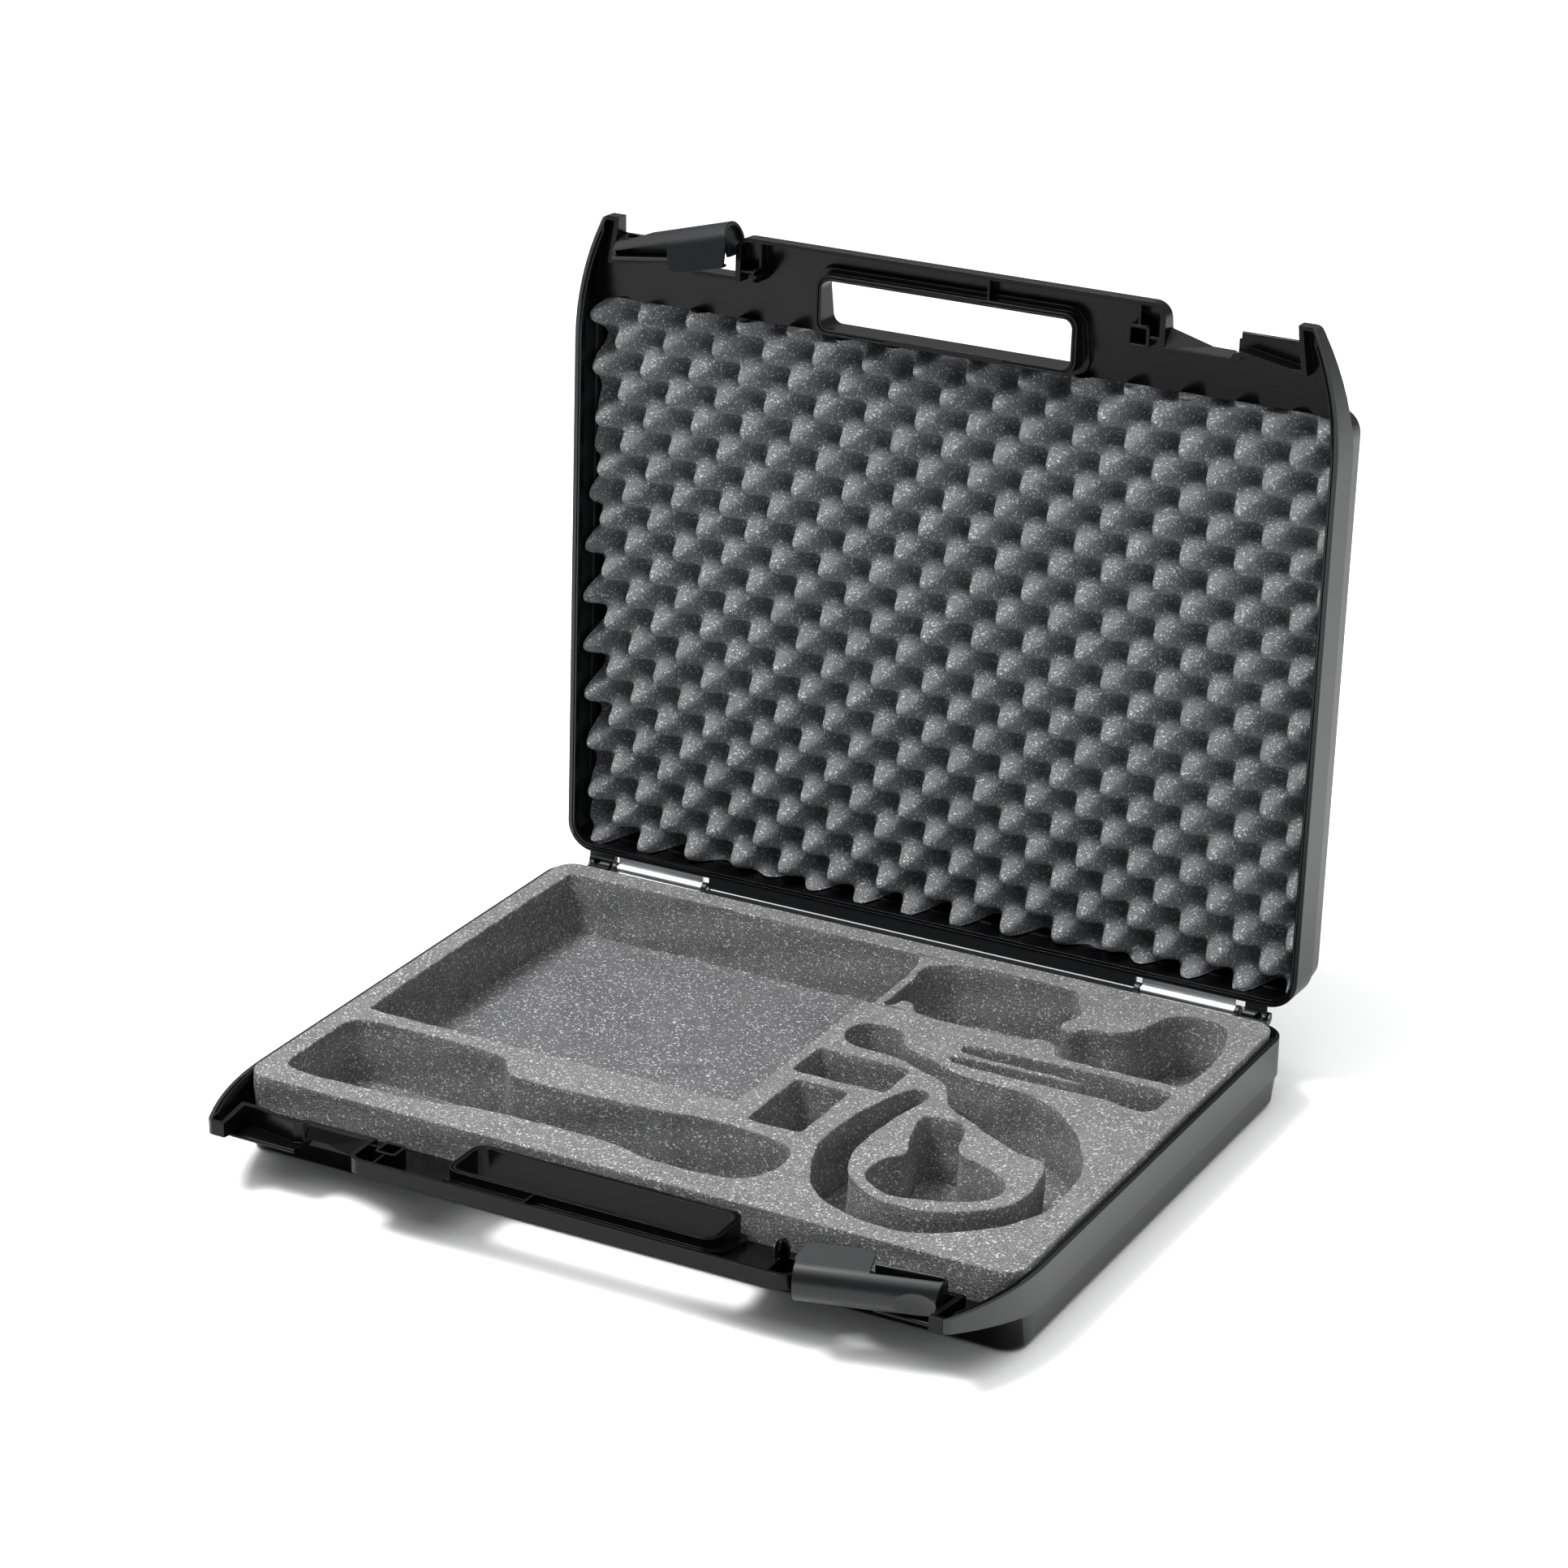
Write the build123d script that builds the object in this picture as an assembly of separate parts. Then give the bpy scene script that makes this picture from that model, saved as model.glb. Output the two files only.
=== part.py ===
"""Moulded carrying case with die-cut foam: two identical shells, foam, latches and hinges.

World frame: the origin is the centre of the base's bottom face, Z is up and the
lip with the carrying handle faces -Y. The lid stands open at LID_ANGLE.

Shell frame used below: x runs along the hinge, v runs from the hinge axis to
the lip (y = -v) and w runs down from the parting plane (z = -w).
"""
import math
import os

from build123d import *

# ------------------------------------------------------------------ driving sizes (mm)
CASE_W = 440.0          # across the hinge side
CASE_D = 369.0          # hinge axis to the outer edge of the lip
SHELL_H = 39.5          # one shell, from parting plane to outer face
WALL = 2.2              # moulded wall
REAR_V = 6.5            # hinge axis to the rear rim
BAND_H = 21.0           # upright band round the shell
RIM_W = 4.0             # thickened rim ring
HANDLE_W = 143.6        # handle opening, clear width
HANDLE_D = 26.0         # handle opening, clear depth
LID_ANGLE = 92.24       # opening of the lid from closed, degrees
FOAM_PROUD = 3.0        # die-cut foam above the parting plane
PIN_R = 1.5             # hinge pin
LATCH_R = 11.0          # outer radius of the latch barrel
LATCH_WALL = 1.8
GAP = 0.05              # running clearance of pins in their holes

HX = CASE_W / 2
F = CASE_D
ORIGIN_V = 165.5        # hinge axis to the frame origin
SX = (HX - 4.5) / 215.5         # foam layouts stretch with the case
SV = (F - 48.5) / 320.5
DEEP = SHELL_H - WALL           # cavity floor
CUT_W = DEEP - 5.0              # underside of the die-cut foam, on its pad
RAMP_V = F - 62.6               # where the underside begins to rise to the lip
SLOPE = 13.5 / 62.6


# ------------------------------------------------------------------ helpers
def vec(x, v, w):
    """Shell frame to build coordinates."""
    return (x, -v, -w)


def plan(points, w=0.0):
    """Flat face in plan from (x, v) points at depth w."""
    return make_face(Polyline(*[vec(x, v, w) for x, v in points], close=True))


def down(face, w0, w1):
    """Prism of a plan face between depths w0 and w1."""
    return Pos(0, 0, -w0) * extrude(face, amount=w1 - w0, dir=(0, 0, -1))


def prism(points, w0, w1):
    return down(plan(points), w0, w1)


def block(x0, x1, v0, v1, w0, w1):
    size = (x1 - x0, v1 - v0, w1 - w0)
    centre = vec((x0 + x1) / 2, (v0 + v1) / 2, (w0 + w1) / 2)
    return Pos(*centre) * Box(*size)


def rounded(x0, x1, v0, v1, radius, w0, w1):
    """Rounded-rectangle prism."""
    centre = vec((x0 + x1) / 2, (v0 + v1) / 2, 0)
    face = Pos(*centre) * RectangleRounded(x1 - x0, v1 - v0, radius)
    return down(face, w0, w1)


def section(points, x0, x1):
    """Prism along x of a (v, w) section."""
    face = make_face(Polyline(*[vec(x0, v, w) for v, w in points], close=True))
    return extrude(face, amount=x1 - x0, dir=(1, 0, 0))


def rod(x0, x1, radius, v=0.0, w=0.0):
    """Round bar along x."""
    centre = vec((x0 + x1) / 2, v, w)
    return Pos(*centre) * Rot(0, 90, 0) * Cylinder(radius, x1 - x0)


def flip_x(shape):
    return mirror(shape, Plane.YZ)


def smooth(points, rounds=2):
    """Round the corners of a closed outline by cutting them."""
    for _ in range(rounds):
        cut = []
        for i, (x0, v0) in enumerate(points):
            x1, v1 = points[(i + 1) % len(points)]
            cut.append((0.75 * x0 + 0.25 * x1, 0.75 * v0 + 0.25 * v1))
            cut.append((0.25 * x0 + 0.75 * x1, 0.25 * v0 + 0.75 * v1))
        points = cut
    return points


def above_underside(offset):
    """Everything above the outer underside line moved inward by offset."""
    lift = offset * math.hypot(1, SLOPE)
    v_end = F + 20
    points = [
        (-20, BAND_H - offset),
        (RAMP_V - (lift - offset) / SLOPE, BAND_H - offset),
        (v_end, BAND_H - lift - SLOPE * (v_end - RAMP_V)),
        (v_end, -20),
        (-20, -20),
    ]
    return section(points, -HX - 10, HX + 10)


# ------------------------------------------------------------------ shell outline
def rim_face():
    """Plan outline of the rim with the two bowed horns at the front."""
    rear_r = 16.0
    bow_r = 155.0
    bow_v = F - 70.0
    half = math.radians(12.5)
    end = math.radians(25.0)
    cx = HX - bow_r
    mid_pt = (cx + bow_r * math.cos(half), bow_v + bow_r * math.sin(half))
    end_pt = (cx + bow_r * math.cos(end), bow_v + bow_r * math.sin(end))
    run = (F - end_pt[1]) / math.cos(end)
    tip = (end_pt[0] - run * math.sin(end), F)
    edges = []
    for s in (1, -1):
        edges.append(Line(vec(s * HX, REAR_V, 0), vec(s * HX, bow_v, 0)))
        bow = [vec(s * HX, bow_v, 0), vec(s * mid_pt[0], mid_pt[1], 0), vec(s * end_pt[0], end_pt[1], 0)]
        edges.append(ThreePointArc(*bow))
        edges.append(Line(vec(s * end_pt[0], end_pt[1], 0), vec(s * tip[0], F, 0)))
    edges.append(Line(vec(tip[0], F, 0), vec(-tip[0], F, 0)))
    edges.append(Line(vec(-HX, REAR_V, 0), vec(HX, REAR_V, 0)))
    face = make_face(edges)
    rear = [p for p in face.vertices() if abs(p.Y + REAR_V) < 0.01]
    face = fillet(rear, rear_r)
    front = [p for p in face.vertices() if abs(p.Y + F) < 0.01]
    return fillet(front, 4.0)


def deep_box(inset, top, bottom, radius):
    """Drafted box below the band: straight down to its shoulder, then tapering."""
    shoulder = 19.0
    x = HX - 0.8 - inset
    v0 = REAR_V + 0.8 + inset
    v1 = F - 45.8 - inset
    centre = vec(0, (v0 + v1) / 2, 0)
    face = Pos(*centre) * RectangleRounded(2 * x, v1 - v0, 14.5 - inset)
    taper = Pos(0, 0, -shoulder) * extrude(face, amount=bottom - shoulder, dir=(0, 0, -1), taper=6.17)
    low = taper.faces().sort_by(Axis.Z)[0]
    taper = fillet(low.edges(), radius)
    return taper + down(face, top, shoulder + 0.001)


# ------------------------------------------------------------------ latch pocket
BACK_V = F - 22.0        # upright wall behind the inner half of a latch pocket
IN_X = HX - 97.0         # inner end of a latch pocket
STEP_X = HX - 61.0       # change from inner to outer half
SHELF_W = 10.5
SHELF_V = F - 10.5
PIVOT_A = (IN_X, F - 7.5)            # pivot line of a latch in plan, inner end
PIVOT_B = (HX - 26.0, F - 12.0)      # and outer end
PIVOT_W = 5.5
PIVOT_R = 2.0


def pocket_tools():
    """Solid that thickens one latch pocket, the cut that opens it, and its shelf."""
    far = F + 6
    out_f = HX - 26.7
    out_b = HX - 23.0
    fill = prism(
        [
            (IN_X - 3.0, far),
            (IN_X - 3.0, BACK_V - WALL),
            (STEP_X + 2.5, BACK_V - WALL),
            (STEP_X + 6.5, BACK_V + 1.4),
            (HX - 28.0, BACK_V - 3.2),
            (out_b + 3.4, BACK_V - 3.2),
            (out_f + 1.9, far),
        ],
        0,
        30,
    )
    lip_r = 8.0
    corner_v = F - lip_r
    corner_x = IN_X - lip_r
    ring = Pos(*vec(corner_x, corner_v, 15)) * (Cylinder(lip_r, 30) - Cylinder(lip_r - WALL, 32))
    fill += ring & block(corner_x, IN_X + 1, corner_v, F + 1, -1, 31)
    cut = prism(
        [(IN_X, far), (IN_X, BACK_V), (STEP_X, BACK_V), (STEP_X, far)],
        -1,
        40,
    )
    cut += prism(
        [(STEP_X - 0.01, far), (STEP_X - 0.01, SHELF_V), (out_b - 2.0, SHELF_V), (out_f, far)],
        -1,
        40,
    )
    cut += prism(
        [
            (STEP_X - 0.01, BACK_V),
            (STEP_X + 1.5, BACK_V + 2.4),
            (STEP_X + 6.0, BACK_V + 4.0),
            (HX - 28.0, BACK_V - 0.6),
            (out_b, BACK_V - 0.6),
            (out_b - 2.0, SHELF_V + 0.5),
            (STEP_X - 0.01, SHELF_V + 0.5),
        ],
        -1,
        SHELF_W,
    )
    tip = block(corner_x, IN_X + 1, corner_v, F + 1, -1, 31) - Pos(*vec(corner_x, corner_v, 15)) * Cylinder(lip_r, 34)
    cut += tip
    shelf = block(STEP_X + 1.2, HX - 22.0, BACK_V - 2.0, SHELF_V, SHELF_W, SHELF_W + 2.2)
    nose = [e for e in shelf.edges().filter_by(Axis.X) if abs(e.center().Y + SHELF_V) < 0.01]
    shelf = fillet(nose, 1.0)
    return fill, cut, shelf


def pivot_bar(t0, t1, radius):
    """Round bar on the latch pivot line, from distance t0 to t1 past its inner end."""
    dx = PIVOT_B[0] - PIVOT_A[0]
    dv = PIVOT_B[1] - PIVOT_A[1]
    run = math.hypot(dx, dv)
    start = vec(PIVOT_A[0] + dx / run * t0, PIVOT_A[1] + dv / run * t0, PIVOT_W)
    line = Plane(origin=start, z_dir=(dx / run, -dv / run, 0))
    return line * Pos(0, 0, (t1 - t0) / 2) * Cylinder(radius, t1 - t0)


def pivot_length():
    return math.hypot(PIVOT_B[0] - PIVOT_A[0], PIVOT_B[1] - PIVOT_A[1])


# ------------------------------------------------------------------ shell
def wedge_ramp():
    """Polished lead-in on the wall behind the inner half of the catch pocket."""
    a, b = IN_X - 0.5, STEP_X
    v0 = BACK_V - 0.5
    top_a, top_b = vec(a, v0, 0.0), vec(b, v0, 0.0)
    low_a, low_b = vec(a, v0, 8.0), vec(b, v0, 8.0)
    toe_a, toe_m, toe_b = vec(a, BACK_V + 8.8, 8.0), vec(a + 24, BACK_V + 2.3, 8.0), vec(b, BACK_V + 2.2, 8.0)
    loops = [
        (top_a, top_b, low_b, low_a),
        (low_a, low_b, toe_b, toe_m, toe_a),
        (top_a, low_a, toe_a),
        (top_b, toe_b, low_b),
        (top_a, toe_a, toe_m),
        (top_a, toe_m, top_b),
        (top_b, toe_m, toe_b),
    ]
    faces = [Face(Wire.make_polygon(loop, close=True)) for loop in loops]
    return Solid(Shell(faces))


def alignment_boss():
    """Square socket, catch side, braced to the lip and the pocket wall."""
    x, v = HX - 111.5, F - 18.5
    tube = rounded(x - 6.0, x + 6.0, v - 5.8, v + 5.8, 2.0, 0, 22)
    tube -= rounded(x - 4.4, x + 4.4, v - 4.2, v + 4.2, 0.8, -1, 23)
    rib_a = block(x - 0.6, x + 0.6, v + 5.0, F - 1.0, 0.6, 22)
    rib_b = block(x + 5.0, IN_X - 1.0, v - 0.6, v + 0.6, 0.6, 22)
    return tube + rib_a + rib_b


def alignment_peg():
    """Cross-bladed peg, latch side, braced the same way."""
    x, v = HX - 111.5, F - 18.5
    tip = 7.6
    profile = [(-3.7, 22), (-3.7, -tip + 3.4), (-2.2, -tip), (2.2, -tip), (3.7, -tip + 3.4), (3.7, 22)]
    blade_a = section([(v + a, w) for a, w in profile], x - 0.75, x + 0.75)
    face = make_face(Polyline(*[vec(x + a, v - 0.75, w) for a, w in profile], close=True))
    blade_b = extrude(face, amount=1.5, dir=(0, -1, 0))
    rib_a = block(x - 0.6, x + 0.6, v + 3.0, F - 1.0, 0.6, 22)
    rib_b = block(x + 3.0, IN_X - 1.0, v - 0.6, v + 0.6, 0.6, 22)
    return blade_a + blade_b + rib_a + rib_b


def shell():
    """One moulding. The latch pocket is at +x and the catch pocket at -x."""
    rim = rim_face()
    below = above_underside(0.0)
    outer = (down(rim, 0, BAND_H) & below) + deep_box(0.0, 1.0, SHELL_H, 4.5)
    hollow = (down(offset(rim, amount=-WALL), -1, BAND_H - WALL) & above_underside(WALL))
    hollow += deep_box(WALL, -1.0, SHELL_H - WALL, 2.5)
    body = outer - hollow

    # thickened rim with its sealing groove, on the sides, the rear and the horns
    ring = down(rim - offset(rim, amount=-RIM_W), 0, 4.0)
    body += ring - block(-HX + 17, HX - 17, F - 60, F + 5, -1, 6)
    groove = down(offset(rim, amount=-2.3) - offset(rim, amount=-3.0), -1, 1.5)
    body -= groove - block(-HX - 5, HX + 5, F - 9, F + 5, -2, 6)

    # handle tunnel with collar, and its broken groove
    hw = HANDLE_W / 2
    v0, v1 = F - 42.0, F - 42.0 + HANDLE_D
    floor_zone = below - above_underside(WALL)
    collar_zone = below - above_underside(WALL + 3.0)
    body += rounded(-hw - 6, hw + 6, v0 - 6, v1 + 6, 10, 0, 25) & collar_zone
    body += rounded(-hw - 3, hw + 3, v0 - 3, v1 + 3, 7.5, 0, 25) & below
    body -= rounded(-hw, hw, v0, v1, 5, -1, 26)
    slot = rounded(-hw - 1.9, hw + 1.9, v0 - 1.9, v1 + 1.9, 6.6, -1, 1.3)
    slot -= rounded(-hw - 1.2, hw + 1.2, v0 - 1.2, v1 + 1.2, 6.0, -2, 2)
    slot -= block(-20, 20, v1 - 5, v1 + 5, -3, 3)
    slot -= block(-34, 34, v0 - 5, v0 + 5, -3, 3)
    body -= slot
    body += block(-24.6, -23.4, v1 + 2.5, F - 1.0, 0.6, 22) & below

    # latch pocket (+x) and catch pocket (-x)
    fill, cut, shelf = pocket_tools()
    for side in (1, -1):
        f = fill if side > 0 else flip_x(fill)
        c = cut if side > 0 else flip_x(cut)
        s = shelf if side > 0 else flip_x(shelf)
        body = body + (f & outer)
        extra = alignment_peg() if side > 0 else flip_x(alignment_boss())
        body += extra & (below + block(-HX, HX, F - 40, F, -30, 1))
        body = body - c + s
    body += flip_x(wedge_ramp())
    body -= pivot_bar(-2.7, pivot_length() + 3.8, PIVOT_R + GAP)

    # spine flange between the hinges, and the socket and hook at their outer ends
    spine = HX - 90.7
    body += block(-spine, spine, 0.3, REAR_V + 1.0, 0.15, 2.0)
    body += socket(1)
    body += hook(-1)
    return body


def hinge_lugs():
    """Pin lugs of the base, one pair per hinge."""
    out = None
    for side in (-1, 1):
        for x0, x1 in ((HX - 90.2, HX - 87.3), (HX - 32.7, HX - 30.4)):
            a, b = sorted((side * x0, side * x1))
            lug = rod(a, b, 3.4) + block(a, b, 0, REAR_V + 1.0, 0.0, 3.4)
            lug -= rod(a - 1, b + 1, PIN_R)
            out = lug if out is None else out + lug
    return out


def socket(side):
    """Cup that wraps the hinge axis at the outer end of one hinge."""
    a, b = sorted((side * (HX - 29.8), side * (HX - 13.8)))
    cup = rod(a, b, 3.6) - rod(a + 1.2, b - 1.2, 2.4)
    reach = 9.0
    start, stop = math.radians(12.0), math.radians(222.0)
    wedge = [(0.0, 0.0)]
    for k in range(9):
        t = start + (stop - start) * k / 8
        wedge.append((reach * math.cos(t), reach * math.sin(t)))
    cup &= section(wedge, a - 1, b + 1)
    web = block(a, b, 2.0, REAR_V + 1.0, 1.1, 4.6) - rod(a + 1.2, b - 1.2, 2.4)
    return cup + web


def hook(side):
    """Flat hook that turns inside the facing socket."""
    a, b = sorted((side * (HX - 27.9), side * (HX - 15.7)))
    bar = rod(a, b, 1.9)
    plate = block(a, b, 0.0, REAR_V + 1.0, 0.2, 1.4)
    notch_x = side * (HX - 19.5)
    out = bar + plate
    return out - Pos(notch_x, 0.6, 0) * Cylinder(2.6, 12)


# ------------------------------------------------------------------ latch
TUBE_X = HX - 94.0       # barrel centre in plan at its inner end
TUBE_V = F - 4.0
TUBE_W = 0.5
LEAN = math.radians(15.0)


def tube_plane():
    """Barrel frame: x forward, y down, z outward along the barrel."""
    c, s = math.cos(LEAN), math.sin(LEAN)
    return Plane(origin=vec(TUBE_X, TUBE_V, TUBE_W), x_dir=(s, -c, 0), z_dir=(c, s, 0))


def tube_box(u0, u1, w0, w1, s0, s1):
    """Box in the barrel frame."""
    centre = Pos((u0 + u1) / 2, (w0 + w1) / 2, (s0 + s1) / 2)
    return tube_plane() * centre * Box(u1 - u0, w1 - w0, s1 - s0)


def tube_section(points, s0, s1):
    face = make_face(Polyline(*[(u, w, s0) for u, w in points], close=True))
    return tube_plane() * extrude(face, amount=s1 - s0, dir=(0, 0, 1))


def latch():
    """Rotary snap latch seated in the pocket at +x."""
    r0 = LATCH_R
    r1 = LATCH_R - LATCH_WALL
    along = tube_plane() * Pos(0, 0, 32)
    solid = along * Cylinder(r0, 110)
    ring = solid - along * Cylinder(r1, 112)
    thick = solid - along * Cylinder(r0 - 4.6, 112)
    half = 33.4
    body = ring & tube_box(-1, 12, -12, 12, -2, half)
    body += tube_section([(1.5, -10.9), (-11.0, -13.3), (-11.0, -11.9), (1.2, -9.2)], -4, half)
    body += tube_section([(-11.0, -13.0), (-11.0, -9.2), (-9.6, -9.2), (-9.0, -12.2)], -4, 20)
    body += ring & tube_box(5.3, 12, -12, 8.8, half - 0.01, 76)
    body += thick & tube_box(5.3, 12, -5.0, 9.1, 44, 70)

    # end caps carrying the pivots
    cap = solid & tube_box(-7, 12, -4, 12, 0.2, 2.4)
    body += cap
    body += solid & tube_box(0.5, 12, -8, 9.1, 66.4, 76)

    # hook leg with its bead, and the web that carries it
    a = (STEP_X - 0.5, F - 15.8)
    b = (HX - 27.7, F - 19.9)
    leg = prism([(a[0], a[1] - 0.65), (a[0], a[1] + 0.65), (b[0], b[1] + 0.65), (b[0], b[1] - 0.65)], -9.0, 3.6)
    web = prism([(a[0], a[1]), (b[0], b[1]), (b[0], F), (a[0], F)], 2.2, 3.6)
    inner = along * Cylinder(r0 - 0.6, 112)
    body += leg + (web & inner & tube_box(-12, 12, -12, 12, half - 0.01, 76))
    run = math.hypot(b[0] - a[0], b[1] - a[1])
    line = Plane(origin=vec(a[0], a[1], -9.1), z_dir=((b[0] - a[0]) / run, -(b[1] - a[1]) / run, 0))
    body += line * Pos(0, 0, run / 2) * Cylinder(0.9, run)

    # thumb dimple on the outer half
    tilt = math.radians(12.0)
    reach = r0 + 20.0 - 3.0
    body -= tube_plane() * Pos(reach * math.cos(tilt), reach * math.sin(tilt), 56) * Sphere(20.0)

    # keep clear of the pocket ends, then add the pivots
    end = [(HX - 26.9, F - 40), (HX - 26.9, F - 17), (HX - 28.3, F - 7), (HX - 29.6, F + 20)]
    keep = [(IN_X + 0.7, F + 20), (IN_X + 0.7, F - 40)] + end
    body &= prism(keep, -20, 20)
    body &= block(0, HX, BACK_V + 0.7, F + 30, -20, 20)
    length = pivot_length()
    body += pivot_bar(-2.2, 4.0, PIVOT_R)
    body += pivot_bar(length - 3.2, length + 3.2, PIVOT_R)
    return body


# ------------------------------------------------------------------ hinges
LEAF_A = HX - 86.8
LEAF_B = HX - 33.2


def hinge_leaf(side):
    """Aluminium strip: rolled barrel, face strip and a leg down the rear wall."""
    a, b = sorted((side * LEAF_A, side * LEAF_B))
    leaf = rod(a, b, 2.3) + block(a, b, 0, REAR_V, 0.3, 1.9)
    leaf += block(a, b, REAR_V - 1.6, REAR_V, 0.3, 14.0)
    return leaf - rod(a - 1, b + 1, PIN_R + GAP)


def hinge_pin(side):
    a, b = sorted((side * (HX - 90.2), side * (HX - 30.4)))
    return rod(a, b, PIN_R)


# ------------------------------------------------------------------ die-cut foam
RECEIVER = [
    (-203.5, 24), (15.5, 24), (15.5, 228), (-203.5, 228),
]
DEVICES = [
    (21, 23), (104, 23), (109, 27), (112, 33), (114.5, 38.5), (119, 44), (121.5, 51.5), (119, 58),
    (116.5, 63), (117.5, 68), (120, 71), (125, 71.5), (128.5, 67.5), (132, 63.5), (140.5, 62),
    (149, 59), (154.5, 53), (157.5, 45.5), (159.5, 35.5), (163, 28.5), (169, 23.5), (177.5, 22),
    (187.5, 23), (193, 27), (197.5, 35.5), (202, 50), (204, 64), (204, 78.5), (203, 93), (200.5, 101.5),
    (197, 102.5), (135, 102.5), (130.5, 101), (129, 95.5), (124.5, 88.5), (119, 87), (112, 87.5),
    (110, 92.5), (49, 92.5), (42.5, 87), (39, 80), (32, 80), (30.5, 89), (26.5, 89.5), (25, 86),
    (21, 86),
]
SLOTS = [
    (84, 110), (196, 109), (200, 111), (200.5, 120), (200.5, 130), (198, 135), (194, 137), (183, 136.5),
    (178, 134), (171, 133), (158, 134.5), (89, 134.5), (85, 131), (85, 125.5), (157, 125), (157, 122),
    (89, 122), (85, 117),
]
LOOP = [
    (53, 141.5), (43, 142), (34.5, 140.5), (28, 136), (24.5, 129), (24, 122), (28, 114.5), (35, 111.5),
    (45, 112), (52, 116), (55, 123), (60.5, 130), (69, 133), (77.5, 135.5), (86, 139.5), (94.5, 143.5),
    (106, 145.5), (120.5, 146), (132, 146.5), (143, 148.5), (152, 153), (163, 160.5), (173, 170.5),
    (182, 182), (192, 199), (197, 212), (199, 223.5), (199.5, 240.5), (200.5, 249), (197.5, 260.5),
    (193, 270.5), (187.5, 280.5), (177.5, 290.5), (163, 301.5), (156, 305.5), (146, 308), (132, 308),
    (120.5, 305.5), (110.5, 302), (100.5, 297), (92, 290), (86, 282), (82, 273.5), (76, 260.5),
    (72.5, 249), (71, 236.5), (72, 218), (74.5, 200.5), (79, 185), (83, 173.5), (88, 169), (94, 170.5),
    (97, 179), (93, 193.5), (91.5, 203.5), (90, 218), (89.5, 232), (90, 243.5), (92.5, 255),
    (97.5, 265), (103, 272), (112, 279), (120.5, 283.5), (129, 285.5), (140.5, 285.5), (150.5, 283.5),
    (160.5, 279), (170.5, 272), (180.5, 260.5), (184, 252), (184.5, 240.5), (183, 230.5), (181, 220.5),
    (178, 212), (174.5, 209.5), (166, 209), (157.5, 206.5), (149, 202), (134.5, 194), (123, 187),
    (112, 181.5), (106, 175), (102.5, 168), (100, 161.5), (96, 157), (86, 153), (73, 147),
    (64.5, 143.5),
]
ISLAND = [
    (102.5, 195.5), (108.5, 192.5), (123, 193), (126.5, 195.5), (129, 202), (132, 213.5), (134.5, 219),
    (138, 224), (146, 226.5), (154.5, 229), (163, 233.5), (169, 238.5), (173, 245.5), (172.5, 255),
    (167.5, 262), (157.5, 268.5), (146, 273.5), (134.5, 277), (127.5, 278), (119, 275.5), (112, 271.5),
    (107, 265.5), (105.5, 258), (105.5, 250), (109, 241.5), (113.5, 238), (113.5, 233), (109, 221),
    (105, 210),
]
SMALL_A = [
    (21.5, 151.5), (74.5, 151.5), (74.5, 182), (21.5, 182),
]
SMALL_B = [
    (28.5, 189.5), (59, 189.5), (59, 241.5), (28.5, 241.5),
]
MIC = [
    (-202, 243), (-197, 239.5), (-187, 238.5), (-157, 238), (-121, 239.5), (-112, 242), (-107, 247),
    (-102, 253), (-98, 257), (-91, 258.5), (-65, 258.5), (-37, 256), (-7, 254), (1, 251.5), (23, 250.5),
    (47, 253), (59, 256), (65.5, 262), (67.5, 272), (66.5, 283), (62.5, 293), (55, 299.5), (41, 302.5),
    (19, 303), (5, 302), (-5, 299), (-15, 296.5), (-27, 295.5), (-57, 295.5), (-81, 296), (-97, 297.5),
    (-105, 299.5), (-117, 303), (-129, 304.5), (-157, 305.5), (-181, 306.5), (-195, 305.5), (-202, 302),
    (-204, 296), (-204, 257), (-204, 248),
]


def cutout(points, rounds):
    scaled = [(x * SX, v * SV) for x, v in points]
    return smooth(scaled, rounds) if rounds else scaled


def die_cut_foam():
    """Block with device-shaped pockets cut right through to the pad."""
    x = HX - 4.4
    block_top = rounded(-x, x, REAR_V + 4.3, F - 48.2, 12, -FOAM_PROUD, CUT_W - 12)
    x = HX - 4.9
    block_low = rounded(-x, x, REAR_V + 5.0, F - 50.0, 12, CUT_W - 12, CUT_W)
    foam = block_top + block_low
    for points in (RECEIVER, SMALL_A, SMALL_B):
        foam -= prism(cutout(points, 0), -FOAM_PROUD - 1, CUT_W + 1)
    for points in (DEVICES, SLOTS, LOOP, ISLAND, MIC):
        foam -= prism(cutout(points, 1), -FOAM_PROUD - 1, CUT_W + 1)
    return foam


# ------------------------------------------------------------------ egg-crate lid foam
PITCH_X = 29.57
PITCH_V = 28.07
TWIST = math.radians(3.9)
PEAK_W = 4.4
RELIEF = 19.5


def crate_depth(x, v):
    """Depth of the egg-crate face at a point of the lid."""
    du, dv = -x - 41.0, v - 265.0
    u = du * math.cos(TWIST) + dv * math.sin(TWIST)
    t = -du * math.sin(TWIST) + dv * math.cos(TWIST)
    wave = -math.cos(2 * math.pi * u / PITCH_X) * math.cos(2 * math.pi * t / PITCH_V)
    return PEAK_W + RELIEF * (1 - wave) / 2


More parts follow.
